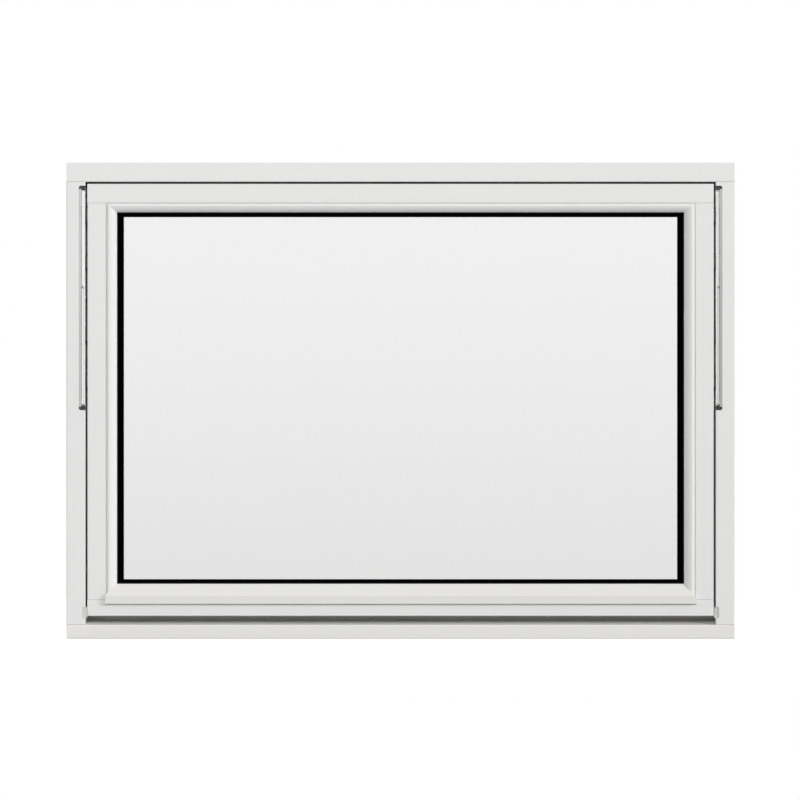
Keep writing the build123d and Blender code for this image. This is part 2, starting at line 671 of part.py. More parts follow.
def bottom_rail_points():
    return [(SASH_FRONT, SASH_BOTTOM), (SASH_FRONT, REBATE[1]), (BEAD_SEAT, REBATE[1]),
            (BEAD_SEAT, GLASS_FLOOR), (LIP_FACE, GLASS_FLOOR), (LIP_FACE, SIGHT[1]),
            (SASH_BACK, SIGHT[1]), (SASH_BACK, SASH_BOTTOM)]


def sash_top_rail():
    radii = [JOINT_EASE, ARRIS, ARRIS, ARRIS, 0, 0]
    return cut(section_x(top_rail_points(), radii, SASH_HALF), sash_tools())


def lock_mortice():
    """The mortice for the gearbox, the rod groove and the bushes' bores in the bottom rail."""
    half = CASE_WIDTH / 2
    groove_end = SASH_HALF - BUSH_LENGTH
    tools = [box((-CASE_LEFT, CASE_RIGHT), (BOLT_Y - half, BOLT_Y + half), (SASH_BOTTOM, CASE_TOP)),
             box((-groove_end, groove_end), (BOLT_Y - half, BOLT_Y + half), (SASH_BOTTOM, LOCK_GROOVE_TOP))]
    tools += both_sides(rod(BUSH_RADIUS, (groove_end, BOLT_Y, BOLT_Z), (SASH_HALF, BOLT_Y, BOLT_Z)))
    tools.append(rod(NECK_RADIUS, (0, BOLT_Y, SPINDLE_Z), (0, SASH_BACK, SPINDLE_Z)))
    return tools


def sash_bottom_rail():
    radii = [ARRIS, 0, 0, 0, 0, 0, ARRIS, ARRIS]
    body = section_x(bottom_rail_points(), radii, SASH_HALF)
    return cut(body, sash_tools() + lock_mortice() + rose_screws(RUNNING_FIT))


def sash_stile():
    """The right stile, cut to the two rails."""
    points = [(REBATE[0], SASH_FRONT), (SASH_HALF, SASH_FRONT), (SASH_HALF, SASH_BACK),
              (SIGHT[0], SASH_BACK), (SIGHT[0], LIP_FACE), (REBATE[0], LIP_FACE)]
    radii = [JOINT_EASE, ARRIS, ARRIS, ARRIS, 0, 0]
    body = section_z(points, radii, SASH_BOTTOM, SASH_TOP)
    top = section_x(top_rail_points(), 0, SASH_HALF)
    bottom = section_x(bottom_rail_points(), 0, SASH_HALF)
    return cut(body - top - bottom - foot_ease(SASH_FRONT, REBATE[1], SASH_HALF), sash_tools())


def pane(y):
    return box((-GLASS[0], GLASS[0]), (y, y + PANE), (GLASS[1], GLASS[2]))


def spacer_frame():
    cavity = (OUTER_PANE + PANE, INNER_PANE)
    return loop(inset(CLEAR, -SPACER_WIDTH), CLEAR, cavity)


def edge_sealant():
    cavity = (OUTER_PANE + PANE, INNER_PANE)
    return loop(GLASS, inset(CLEAR, -SPACER_WIDTH), cavity)


def glazing_gasket(y, lip):
    return loop(inset(GLASS, GASKET_INSET), inset(SIGHT, lip), (y, y + GASKET))


def setting_blocks():
    """Two blocks under the glass, near its ends."""
    start = GLASS[0] - BLOCK_INSET - BLOCK_LENGTH
    block = box((start, start + BLOCK_LENGTH), (OUTER_PANE, INNER_PANE + PANE), (GLASS_FLOOR, GLASS[1]))
    return union(both_sides(block))


def location_blocks():
    """Blocks that centre the glass at its sides."""
    blocks = []
    for z in (GLASS[1] + BLOCK_INSET, GLASS[2] - BLOCK_INSET):
        y = (OUTER_PANE, INNER_PANE + PANE)
        block = box((GLASS[0], REBATE[0]), y, (z - BLOCK_LENGTH / 2, z + BLOCK_LENGTH / 2))
        blocks += both_sides(block)
    return union(blocks)


def bead_section(width):
    """The moulded bead's outline as (distance from the rebate, height off its seat)."""
    crown = width * BEAD_CROWN_SHARE
    ridge = BEAD_DEPTH + BEAD_RIDGE
    quirk = BEAD_DEPTH - BEAD_QUIRK
    on_rise = (width * BEAD_RISE[0], ridge - BEAD_RISE[1])
    on_fall = (width * BEAD_FALL[0], BEAD_DEPTH - BEAD_FALL[1])
    rise = ThreePointArc((0, quirk), on_rise, (crown, ridge))
    fall = ThreePointArc((crown, ridge), on_fall, (width, BEAD_EDGE))
    sides = Polyline((width, BEAD_EDGE), (width, 0), (0, 0), (0, quirk))
    return make_face(rise + fall + sides)


def bead_top():
    """The top bead, mitred to the side beads."""
    plane = Plane(origin=(0, BEAD_SEAT, REBATE[2]), x_dir=(0, 0, -1), z_dir=(-1, 0, 0))
    body = extrude(plane * bead_section(BEAD_TOP), amount=REBATE[0], both=True)
    mitre = prism_y([(-REBATE[0], REBATE[2]), (REBATE[0], REBATE[2]), (SIGHT[0], SIGHT[2]),
                     (-SIGHT[0], SIGHT[2])], (FRONT, BACK))
    return cut(body & mitre, bead_pins(RUNNING_FIT))


def bead_side():
    """The right bead, mitred to the top bead and to the bottom bead's slope."""
    plane = Plane(origin=(REBATE[0], BEAD_SEAT, 0), x_dir=(-1, 0, 0), z_dir=(0, 0, 1))
    body = extrude(plane * bead_section(BEAD_SIDE), amount=REBATE[2])
    mitre = prism_y([(REBATE[0], REBATE[2]), (SIGHT[0], SIGHT[2]), (SIGHT[0], SIGHT[1]),
                     (REBATE[0], REBATE[1] + BEAD_BOTTOM_BASE)], (FRONT, BACK))
    return cut(body & mitre, bead_pins(RUNNING_FIT))


def bead_bottom():
    """The large bottom bead: a weathered slope, a round ridge and a nose with a drip groove."""
    ridge_z = REBATE[1] + BEAD_BOTTOM_BASE
    nose_y = SASH_FRONT - NOSE_PROUD
    nose_z = REBATE[1] - NOSE_DROP
    points = [(BEAD_SEAT, REBATE[1]), (BEAD_SEAT, SIGHT[1]), (BEAD_SEAT - BEAD_EDGE, SIGHT[1]),
              (nose_y, ridge_z - RIDGE_DROP), (nose_y + NOSE_LEAN, nose_z), (SASH_FRONT, nose_z),
              (SASH_FRONT, REBATE[1])]
    half = REBATE[0] + NOSE_OVERRUN
    body = section_x(points, [0, 0, FOOT_EDGE_RADIUS, RIDGE_RADIUS, FOOT_EDGE_RADIUS, 0, 0], half)
    groove_y = SASH_FRONT - NOSE_PROUD / 2
    body -= rod(NOSE_GROOVE_RADIUS, (-half, groove_y, nose_z), (half, groove_y, nose_z))
    between = prism_y([(-REBATE[0], nose_z), (-REBATE[0], ridge_z), (-SIGHT[0], SIGHT[1]),
                       (SIGHT[0], SIGHT[1]), (REBATE[0], ridge_z), (REBATE[0], nose_z)], (SASH_FRONT, BACK))
    over = prism_y([(-half, nose_z), (-REBATE[0], ridge_z), (-SIGHT[0], SIGHT[1]),
                    (SIGHT[0], SIGHT[1]), (REBATE[0], ridge_z), (half, nose_z)], (nose_y, SASH_FRONT))
    return cut(body & (between + over), bead_pins(RUNNING_FIT))


def sash_arm():
    """The right arm on the sash's edge, from the shoe down past the fixed pivot, thick above the stay."""
    body = flat_arm((SASH_ARM_IN, SASH_ARM_OUT), ARM_BOTTOM + ARM_END, SHOE_Z)
    body += flat_arm((SASH_ARM_OUT, STAY_OUT), ARM_STEP_Z + ARM_END, SHOE_Z)
    collar = STUD_COLLAR_RADIUS + FACE_CLEAR
    body -= rod(collar, (SASH_ARM_OUT, HINGE_Y, SHOE_Z), (STAY_OUT, HINGE_Y, SHOE_Z))
    body -= rod(STUD_RADIUS + RUNNING_FIT, (SASH_ARM_IN, HINGE_Y, SHOE_Z), (SASH_ARM_OUT, HINGE_Y, SHOE_Z))
    fit = PIVOT_RADIUS + RUNNING_FIT
    body -= rod(fit, (SASH_ARM_IN, HINGE_Y, MIDDLE_Z), (SASH_ARM_OUT, HINGE_Y, MIDDLE_Z))
    return cut(body, arm_screws(RUNNING_FIT))


def arm_packers():
    """Packers between the sash arms and the sash, one at each screw."""
    packers = []
    for z in arm_screw_heights():
        y = (HINGE_Y - PACKER_HALF_DEPTH, HINGE_Y + PACKER_HALF_DEPTH)
        block = box((SASH_HALF, SASH_ARM_IN), y, (z - PACKER_HALF_HEIGHT, z + PACKER_HALF_HEIGHT))
        block = fillet(block.edges().filter_by(Axis.X), PACKER_CORNER)
        packers += both_sides(cut(block, arm_screws(RUNNING_FIT)))
    return union(packers)


def sash_weatherseal():
    """The seal round the sash's room face: a round-backed bulb on a foot."""
    outer = inset(SEAL_LINE, -SEAL_HALF_WIDTH)
    bulb = loop(outer, inset(SEAL_LINE, SEAL_HALF_WIDTH), (SASH_BACK, SASH_BACK + SEAL_PROUD))
    crest = bulb.edges().filter_by(Axis.Y, reverse=True).group_by(Axis.Y)[-1]
    return fillet(crest, SEAL_HALF_WIDTH * SEAL_ROUND_SHARE) + seal_foot()


# Lock
def rack_outline(centres, pitch_line, way, span, back):
    """A toothed bar's outline in X and Z, its teeth pointing the given way along Z."""
    flank = math.tan(PRESSURE_ANGLE)
    half = TOOTH_PITCH / 4 - RACK_BACKLASH / 2
    tip = RACK_ADDENDUM
    root = -RACK_DEDENDUM
    points = [(span[0], pitch_line + way * root)]
    for x in centres:
        points.append((x - half - flank * -root, pitch_line + way * root))
        points.append((x - half + flank * tip, pitch_line + way * tip))
        points.append((x + half - flank * tip, pitch_line + way * tip))
        points.append((x + half + flank * -root, pitch_line + way * root))
    points.append((span[1], pitch_line + way * root))
    return points + [(span[1], back), (span[0], back)]


def rack_centres(first, low, high):
    """Tooth centres in step with one at the given place."""
    count = int((high - low) / TOOTH_PITCH) + 2
    start = first + TOOTH_PITCH * math.ceil((low - first) / TOOTH_PITCH)
    return [start + TOOTH_PITCH * i for i in range(count) if start + TOOTH_PITCH * i < high]


def bolt_end(side):
    """The round bolt at a rod's outer end."""
    tip = SASH_HALF - BOLT_SETBACK
    bolt = rod(BOLT_RADIUS, (side * (tip - BOLT_LENGTH), BOLT_Y, BOLT_Z), (side * tip, BOLT_Y, BOLT_Z))
    rim = bolt.edges().filter_by(GeomType.CIRCLE).sort_by(Axis.X)[-1 if side > 0 else 0]
    return chamfer(rim, BOLT_EASE)


def lock_rod_left():
    """The rod driven by the gear's underside, which moves to the left as the handle turns down."""
    pitch_line = SPINDLE_Z - THROW_RADIUS
    centres = rack_centres(0.0, -RACK_TOOTH_END, RACK_SPAN - RACK_MARGIN)
    outline = rack_outline(centres, pitch_line, 1, (-RACK_HEEL, RACK_SPAN), ROD_Z[0])
    body = prism_y(outline, ROD_Y)
    body += box((-ROD_END, -RACK_HEEL), ROD_Y, ROD_Z)
    return body + bolt_end(-1)


def lock_rod_right():
    """The rod driven by the gear's top, cranked down past the gear to the bolt's height."""
    pitch_line = SPINDLE_Z + THROW_RADIUS
    back = pitch_line + RACK_DEDENDUM + RACK_BACK
    centres = rack_centres(TOOTH_PITCH / 2, RACK_MARGIN - RACK_SPAN, RACK_TOOTH_END)
    crank = (RACK_SPAN + CRANK_START, RACK_SPAN + CRANK_END)
    outline = rack_outline(centres, pitch_line, -1, (-RACK_SPAN, crank[1]), back)
    body = prism_y(outline, ROD_Y)
    body += box(crank, ROD_Y, (ROD_Z[0], back))
    body += box((crank[0], ROD_END), ROD_Y, ROD_Z)
    return body + bolt_end(1)


def gear_profile():
    """Spur gear outline with involute flanks, a tooth space facing straight down."""
    base = THROW_RADIUS * math.cos(PRESSURE_ANGLE)
    tip = THROW_RADIUS + GEAR_ADDENDUM_SHARE * GEAR_MODULE
    root = THROW_RADIUS - GEAR_DEDENDUM_SHARE * GEAR_MODULE
    half_tooth = math.pi / (2 * GEAR_TEETH)
    roll = math.tan(PRESSURE_ANGLE) - PRESSURE_ANGLE
    points = []
    for tooth in range(GEAR_TEETH):
        middle = -math.pi / 2 + (tooth + 0.5) * 2 * math.pi / GEAR_TEETH
        flank = []
        for i in range(FLANK_STEPS + 1):
            radius = max(base, root) + (tip - max(base, root)) * i / FLANK_STEPS
            angle = math.acos(min(1.0, base / radius))
            flank.append((radius, half_tooth + roll - (math.tan(angle) - angle)))
        flank.insert(0, (root, flank[0][1]))
        points += [(r * math.cos(middle - a), r * math.sin(middle - a)) for r, a in flank]
        points += [(r * math.cos(middle + a), r * math.sin(middle + a)) for r, a in reversed(flank)]
    return [(x, SPINDLE_Z + z) for x, z in points]


def drive_gear():
    """The gear between the two racks, with hubs that turn in the case and a square bore."""
    half = GEAR_WIDTH / 2
    body = prism_y(gear_profile(), (BOLT_Y - half, BOLT_Y + half))
    hub = CASE_WIDTH / 2 - FACE_CLEAR
    body += rod(HUB_RADIUS, (0, BOLT_Y - hub, SPINDLE_Z), (0, BOLT_Y + hub, SPINDLE_Z))
    bore = SPINDLE_SQUARE / 2 + RUNNING_FIT
    return body - box((-bore, bore), (BOLT_Y - hub, BOLT_Y + hub), (SPINDLE_Z - bore, SPINDLE_Z + bore))


def gearbox_case():
    """The open case round the gear, with mouths for the rods."""
    x = (-CASE_LEFT, CASE_RIGHT)
    y = (BOLT_Y - CASE_WIDTH / 2, BOLT_Y + CASE_WIDTH / 2 - CASE_WALL)
    body = box(x, y, (CASE_FLOOR, CASE_TOP))
    wall = CASE_WALL
    inside_z = (CASE_FLOOR + wall, CASE_TOP - wall)
    body -= box((x[0] + wall, x[1] - wall), (y[0] + wall, y[1]), inside_z)
    mouth = (ROD_Z[0] - ROD_CLEAR, ROD_Z[1] + ROD_CLEAR)
    body -= box(x, (ROD_Y[0] - ROD_CLEAR, ROD_Y[1] + ROD_CLEAR), mouth)
    return body - rod(HUB_RADIUS + RUNNING_FIT, (0, y[0], SPINDLE_Z), (0, y[1], SPINDLE_Z))


def gearbox_cover():
    """The plate that closes the case on the room side."""
    y = (BOLT_Y + CASE_WIDTH / 2 - CASE_WALL, BOLT_Y + CASE_WIDTH / 2)
    body = box((-CASE_LEFT, CASE_RIGHT), y, (CASE_FLOOR, CASE_TOP))
    return body - rod(HUB_RADIUS + RUNNING_FIT, (0, y[0], SPINDLE_Z), (0, y[1], SPINDLE_Z))


def faceplate_screws(clearance=0.0):
    tools = []
    half = CASE_WIDTH / 2
    for x in faceplate_screw_offsets():
        for side in (1, -1):
            tools.append(screw(FACEPLATE_SCREW, (side * x, BOLT_Y + half, SASH_BOTTOM), (0, 0, 1), clearance))
    return tools


def faceplate_body():
    """The strip let into the sash's underside over the groove."""
    half = CASE_WIDTH / 2 + FACEPLATE_WING
    end = SASH_HALF - BUSH_LENGTH
    return box((-end, end), (BOLT_Y - half, BOLT_Y + half), (SASH_BOTTOM, CASE_FLOOR))


def bolt_bushes():
    """The bushes that guide the bolts out of the sash's edges."""
    start = SASH_HALF - BUSH_LENGTH
    bush = rod(BUSH_RADIUS, (start, BOLT_Y, BOLT_Z), (SASH_HALF, BOLT_Y, BOLT_Z))
    bush -= rod(BOLT_RADIUS + RUNNING_FIT, (start, BOLT_Y, BOLT_Z), (SASH_HALF, BOLT_Y, BOLT_Z))
    return union(both_sides(bush))


def rose_screw_offset():
    return ROSE_LENGTH / 2 - ROSE_SCREW_INSET


def rose_screws(clearance=0.0):
    y = SASH_BACK + ROSE_THICK
    x = rose_screw_offset()
    return [screw(ROSE_SCREW, (side * x, y, SPINDLE_Z), (0, -1, 0), clearance) for side in (1, -1)]


def handle_rose():
    """The long rose on the sash's room face."""
    plane = Plane(origin=(0, SASH_BACK, SPINDLE_Z), x_dir=(-1, 0, 0), z_dir=(0, 1, 0))
    body = extrude(plane * SlotOverall(ROSE_LENGTH, ROSE_HEIGHT), amount=ROSE_THICK)
    rim = body.edges().group_by(Axis.Y)[-1]
    body = fillet(rim, ROSE_EASE)
    body -= rod(NECK_RADIUS + RUNNING_FIT, (0, SASH_BACK, SPINDLE_Z), (0, SASH_BACK + ROSE_THICK, SPINDLE_Z))
    return cut(body, rose_screws(RUNNING_FIT))


def handle_lever():
    """The lever, lying along the rail when the bolts are drawn and turned up to throw them."""
    lever_y = SASH_BACK + LEVER_STANDOFF
    faces = []
    for share, half_height, half_depth in LEVER_SECTIONS:
        plane = Plane(origin=(-share * LEVER_LENGTH, lever_y, SPINDLE_Z), x_dir=(0, 0, 1), z_dir=(-1, 0, 0))
        faces.append(plane * make_face(Ellipse(half_height, half_depth).edges()))
    blade = loft(faces)
    tip = blade.edges().sort_by(Axis.X)[0]
    blade = fillet(tip, LEVER_TIP_EASE)
    neck = rod(NECK_RADIUS, (0, SASH_BACK + NECK_START, SPINDLE_Z), (0, lever_y, SPINDLE_Z))
    knuckle = Pos(0, lever_y, SPINDLE_Z) * Sphere(KNUCKLE_RADIUS)
    bore = SPINDLE_SQUARE / 2 + RUNNING_FIT
    hole_y = (SASH_BACK, lever_y - LEVER_BORE_COVER)
    hole = box((-bore, bore), hole_y, (SPINDLE_Z - bore, SPINDLE_Z + bore))
    return blade + neck + knuckle - hole


def spindle():
    half = SPINDLE_SQUARE / 2
    y = (BOLT_Y - CASE_WIDTH / 2 + CASE_WALL, SASH_BACK + LEVER_STANDOFF - SPINDLE_COVER)
    return box((-half, half), y, (SPINDLE_Z - half, SPINDLE_Z + half))


# Every node, by name
def nodes():
    """Each named piece of the window."""
    mirrored = {"frame_jamb": frame_jamb(), "guide_rail": guide_rail(), "fixed_pivot": fixed_pivot(),
                "bolt_keep": bolt_keep(), "stay_arm": stay_arm(), "stay_rivet": stay_rivet(),
                "shoe": shoe(), "sash_stile": sash_stile(), "bead": bead_side(), "sash_arm": sash_arm()}
    parts = {}
    for name, shape in mirrored.items():
        parts[name + "_right"] = shape
        parts[name + "_left"] = mirror(shape, about=Plane.YZ)
    faceplate = cut(faceplate_body(), faceplate_screws(RUNNING_FIT))
    bottom_rail = cut(sash_bottom_rail(), [faceplate_body()] + faceplate_screws(RUNNING_FIT))
    parts.update({
        "frame_head": frame_head(), "frame_sill": frame_sill(),
        "frame_corner_screws": union([s for tool in corner_screws() for s in both_sides(tool)]),
        "rail_screws": union([s for tool in rail_screws() for s in both_sides(tool)]),
        "rail_end_stops": rail_end_stops(),
        "keep_screws": union([s for tool in keep_screws() for s in both_sides(tool)]),
        "sash_top_rail": sash_top_rail(), "sash_bottom_rail": bottom_rail,
        "sash_dowels": union([s for tool in dowels() for s in both_sides(tool)]),
        "glass_outer": pane(OUTER_PANE), "glass_inner": pane(INNER_PANE),
        "spacer_frame": spacer_frame(), "edge_sealant": edge_sealant(),
        "gasket_outer": glazing_gasket(BEAD_SEAT, GASKET_LIP),
        "gasket_inner": glazing_gasket(INNER_PANE + PANE, 0.0),
        "setting_blocks": setting_blocks(), "location_blocks": location_blocks(),
        "bead_top": bead_top(), "bead_bottom": bead_bottom(), "bead_pins": union(bead_pins()),
        "arm_packers": arm_packers(),
        "arm_screws": union([s for tool in arm_screws() for s in both_sides(tool)]),
        "sash_weatherseal": sash_weatherseal(),
        "gearbox_case": gearbox_case(), "gearbox_cover": gearbox_cover(),
        "lock_faceplate": faceplate, "faceplate_screws": union(faceplate_screws()),
        "bolt_bushes": bolt_bushes(), "handle_rose": handle_rose(), "rose_screws": union(rose_screws()),
        "handle_lever": handle_lever(), "handle_spindle": spindle(), "drive_gear": drive_gear(),
        "lock_rod_left": lock_rod_left(), "lock_rod_right": lock_rod_right()})
    return parts


os.makedirs("parts", exist_ok=True)
for node, shape in nodes().items():
    export_step(shape, f"parts/{node}.step")
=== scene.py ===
import math

import bpy
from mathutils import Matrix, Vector


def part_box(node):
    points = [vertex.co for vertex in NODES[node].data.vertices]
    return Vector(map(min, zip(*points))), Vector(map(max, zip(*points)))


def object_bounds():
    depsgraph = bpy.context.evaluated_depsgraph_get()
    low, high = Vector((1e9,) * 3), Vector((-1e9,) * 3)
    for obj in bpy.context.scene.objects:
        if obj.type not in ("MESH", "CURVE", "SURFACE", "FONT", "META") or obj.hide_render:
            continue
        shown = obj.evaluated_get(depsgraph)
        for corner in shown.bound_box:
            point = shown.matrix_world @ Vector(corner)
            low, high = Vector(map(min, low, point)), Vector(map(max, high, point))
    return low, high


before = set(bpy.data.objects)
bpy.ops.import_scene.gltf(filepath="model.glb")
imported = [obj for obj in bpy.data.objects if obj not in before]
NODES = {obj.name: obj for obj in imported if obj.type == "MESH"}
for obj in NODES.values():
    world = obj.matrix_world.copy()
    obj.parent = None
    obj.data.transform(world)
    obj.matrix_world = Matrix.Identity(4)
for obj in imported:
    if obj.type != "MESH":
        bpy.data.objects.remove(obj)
CAD_BOX = [list(corner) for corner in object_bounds()]

# The view: straight on from outside, the whole window in a square picture (metres and pixels)
PICTURE = 800
FIELD_WIDTH = 1.6635
CAMERA_DISTANCE = 14.0
CAMERA_FAR = 100.0
WINDOW_HEIGHT = 0.99
CENTRE_RIGHT_PIXELS = 0.54
CENTRE_DROP_PIXELS = 0.57
SENSOR = 36.0

# The lamps: direction or place, width or size, and strength
KEY_TOWARD, KEY_SPREAD, KEY_STRENGTH = (0.80, -0.48, 0.36), 20.0, 1.58
BACK_TOWARD, BACK_SPREAD, BACK_STRENGTH = (-0.45, 0.75, 0.48), 40.0, 1.7
FRONT_PLACE, FRONT_TARGET = (0.0, -7.0, 2.4), (0.0, 0.0, 0.5)
FRONT_SIZE, FRONT_POWER = (4.0, 1.4), 230.0

# The studio round the window: its strength by height, and what gloss mirrors of it by depth
HORIZON_TO_TOP = (0.18, 0.40)
RISE = (0.0, 0.7)
DARK_TO_LIGHT = (0.02, 0.9)
DARK_SIDE = (-0.94, -0.7)

# The floor
FLOOR_HALF = 2.9
FLOOR_DROP = 0.0005
FLOOR_GLOW = 0.79
FLOOR_SHADE = (0.40, 0.40, 0.40, 1.0)
FLOOR_GREY = (0.45, 0.45, 0.45, 1.0)

# Colours as linear values
TIMBER_WHITE = (0.765, 0.765, 0.758)
# The sill is the same paint as the frame; its white is set lighter and a little warmer, a painted
# light that offsets the shade near the floor
SILL_WHITE_PAINTED_LIGHT = (0.79, 0.782, 0.753)
# The bottom bead is the same paint as the frame; its white is set darker and warmer, a painted
# shade
FOOT_BEAD_WHITE_PAINTED_SHADE = (0.757, 0.75, 0.722)
KEEP_GREY = (0.60, 0.60, 0.565)
ZINC = (0.62, 0.62, 0.60)
DULL_ZINC = (0.43, 0.43, 0.42)
COATED = (0.86, 0.86, 0.85)
BLACK = (0.006, 0.006, 0.006)
BEECH = (0.55, 0.36, 0.19)
ALUMINIUM = (0.72, 0.72, 0.72)
ACETAL = (0.60, 0.60, 0.58)
# The glass's fall from the top colour to the foot colour is a painted reflection
GLASS_TOP = (0.95, 0.952, 0.949)
GLASS_FOOT_PAINTED_REFLECTION = (0.884, 0.886, 0.882)
GLASS_IOR = 1.45
GLASS_PAINTED_REFLECTION_CURVE = 1.4
WHITE = (1.0, 1.0, 1.0, 1.0)


# Shader building
class Shader:
    """A material with its Principled shader and short ways to wire procedural nodes to it."""

    def __init__(self, name, color, roughness, metallic=0.0, **sockets):
        self.material = bpy.data.materials.new(name)
        self.material.use_nodes = True
        self.tree = self.material.node_tree
        self.bsdf = self.tree.nodes["Principled BSDF"]
        self.color = color
        self.bsdf.inputs["Base Color"].default_value = (*color, 1.0)
        self.bsdf.inputs["Roughness"].default_value = roughness
        self.bsdf.inputs["Metallic"].default_value = metallic
        for socket, value in sockets.items():
            self.bsdf.inputs[socket.replace("_", " ")].default_value = value

    def node(self, kind, **values):
        node = self.tree.nodes.new(kind)
        for key, value in values.items():
            setattr(node, key, value)
        return node

    def link(self, source, target):
        self.tree.links.new(source, target)

    def place(self, scale=(1.0, 1.0, 1.0)):
        """Object coordinates in metres, stretched by a scale."""
        source = self.node("ShaderNodeTexCoord")
        mapping = self.node("ShaderNodeMapping")
        mapping.inputs["Scale"].default_value = scale
        self.link(source.outputs["Object"], mapping.inputs["Vector"])
        return mapping.outputs["Vector"]

    def noise(self, scale, stretch=(1.0, 1.0, 1.0), detail=3.0, roughness=0.5):
        texture = self.node("ShaderNodeTexNoise")
        texture.inputs["Scale"].default_value = scale
        texture.inputs["Detail"].default_value = detail
        texture.inputs["Roughness"].default_value = roughness
        self.link(self.place(stretch), texture.inputs["Vector"])
        return texture.outputs["Fac"]

    def spots(self, scale):
        texture = self.node("ShaderNodeTexVoronoi")
        texture.inputs["Scale"].default_value = scale
        self.link(self.place(), texture.inputs["Vector"])
        return texture.outputs["Distance"]

    def spread(self, value, low, high, at=(0.3, 0.7)):
        """A value remapped from one span to another."""
        remap = self.node("ShaderNodeMapRange")
        remap.inputs["From Min"].default_value = at[0]
        remap.inputs["From Max"].default_value = at[1]
        remap.inputs["To Min"].default_value = low
        remap.inputs["To Max"].default_value = high
        self.link(value, remap.inputs["Value"])
        return remap.outputs["Result"]

    def tint(self, factor, other):
        """Mixes the base colour with another one by a factor, on top of what is there."""
        mix = self.node("ShaderNodeMix", data_type="RGBA")
        base = self.bsdf.inputs["Base Color"]
        if base.is_linked:
            self.link(base.links[0].from_socket, mix.inputs["A"])
        else:
            mix.inputs["A"].default_value = (*self.color, 1.0)
        mix.inputs["B"].default_value = (*other, 1.0)
        self.link(factor, mix.inputs["Factor"])
        self.link(mix.outputs["Result"], base)

    def bump(self, height, distance, strength=1.0):
        """Adds a bump on top of what is there."""
        bump = self.node("ShaderNodeBump")
        bump.inputs["Distance"].default_value = distance
        bump.inputs["Strength"].default_value = strength
        normal = self.bsdf.inputs["Normal"]
        if normal.is_linked:
            self.link(normal.links[0].from_socket, bump.inputs["Normal"])
        self.link(height, bump.inputs["Height"])
        self.link(bump.outputs["Normal"], normal)

    def rough(self, value):
        self.link(value, self.bsdf.inputs["Roughness"])


def shade(color, amount):
    return tuple(channel * amount for channel in color)


# Grain runs along the long side of a member: few changes that way, many across it
ALONG_X = (0.05, 1.0, 1.0)
ALONG_Y = (1.0, 0.05, 1.0)
ALONG_Z = (1.0, 1.0, 0.05)


def painted(name, color, grain):
    """Satin paint on planed timber: a faint grain under the fine texture of the sprayed coat."""
    paint = Shader(name, color, roughness=0.42, Specular_IOR_Level=0.35)
    paint.tint(paint.spread(paint.noise(scale=5.0), low=0.0, high=1.0), shade(color, 0.985))
    paint.tint(paint.spread(paint.noise(140.0, grain), low=0.0, high=0.5), shade(color, 0.985))
    paint.bump(paint.noise(170.0, grain, detail=2.0), distance=0.00008)
    paint.bump(paint.noise(scale=900.0, detail=1.0), distance=0.00002)
    paint.rough(paint.spread(paint.noise(30.0, grain), low=0.38, high=0.48))
    return paint.material


def bare_wood():
    wood = Shader("bare_wood", BEECH, roughness=0.6)
    figure = wood.spread(wood.noise(260.0, ALONG_Z, detail=5.0), low=0.0, high=1.0)
    wood.tint(figure, shade(BEECH, 0.62))
    wood.bump(wood.noise(420.0, ALONG_Z), distance=0.0001)
    return wood.material


def clear_glass():
    """Clear float glass, a little darker towards the foot: a painted reflection."""
    glass = Shader("clear_glass", GLASS_TOP, roughness=0.0, IOR=GLASS_IOR, Transmission_Weight=1.0)
    # Painted reflection: the tint darkens by height towards the foot
    height = glass.node("ShaderNodeSeparateXYZ")
    glass.link(glass.place(), height.inputs["Vector"])
    low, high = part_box("glass_outer")
    painted_reflection_curve = glass.node("ShaderNodeMath", operation="POWER")
    painted_reflection_curve.inputs[1].default_value = GLASS_PAINTED_REFLECTION_CURVE
    painted_reflection_fall = glass.spread(height.outputs["Z"], low=1.0, high=0.0, at=(low.z, high.z))
    glass.link(painted_reflection_fall, painted_reflection_curve.inputs[0])
    glass.tint(painted_reflection_curve.outputs[0], GLASS_FOOT_PAINTED_REFLECTION)
    return glass.material


def rubber(name, color):
    seal = Shader(name, color, roughness=0.75, Specular_IOR_Level=0.2)
    seal.tint(seal.spread(seal.noise(scale=60.0), low=0.0, high=1.0), shade(color, 2.0))
    seal.bump(seal.noise(scale=1500.0, detail=1.0), distance=0.00003)
    return seal.material


def moulded_plastic():
    plastic = Shader("black_plastic", shade(BLACK, 2.0), roughness=0.5)
    plastic.tint(plastic.spread(plastic.noise(scale=80.0), low=0.0, high=1.0), shade(BLACK, 4.0))
    plastic.bump(plastic.noise(scale=2200.0, detail=1.0), distance=0.00004)
    return plastic.material


def plated(name, color, grain, metallic=1.0):
    """Zinc plated steel: rolled along its length, with the plating's cloudy colour."""
    steel = Shader(name, color, roughness=0.38, metallic=metallic)
    steel.tint(steel.spread(steel.noise(scale=120.0), low=0.0, high=1.0), shade(color, 0.82))
    spangle = steel.spread(steel.spots(scale=700.0), low=0.0, high=0.4, at=(0.0, 0.6))
    steel.tint(spangle, shade(color, 1.12))
    steel.bump(steel.noise(1800.0, grain, detail=2.0), distance=0.00002)
    steel.rough(steel.spread(steel.noise(300.0, grain), low=0.3, high=0.48))
    return steel.material


def coated_steel():
    coat = Shader("coated_steel", COATED, roughness=0.45)
    coat.tint(coat.spread(coat.noise(scale=40.0), low=0.0, high=1.0), shade(COATED, 0.96))
    coat.bump(coat.noise(scale=1300.0, detail=1.0), distance=0.00003)
    return coat.material


def keep_coat():
    """Cast keep with a thin light grey coat."""
    coat = Shader("grey_keep", KEEP_GREY, roughness=0.5)
    coat.tint(coat.spread(coat.noise(scale=150.0), low=0.0, high=1.0), shade(KEEP_GREY, 0.93))
    coat.bump(coat.noise(scale=900.0), distance=0.00005)
    return coat.material


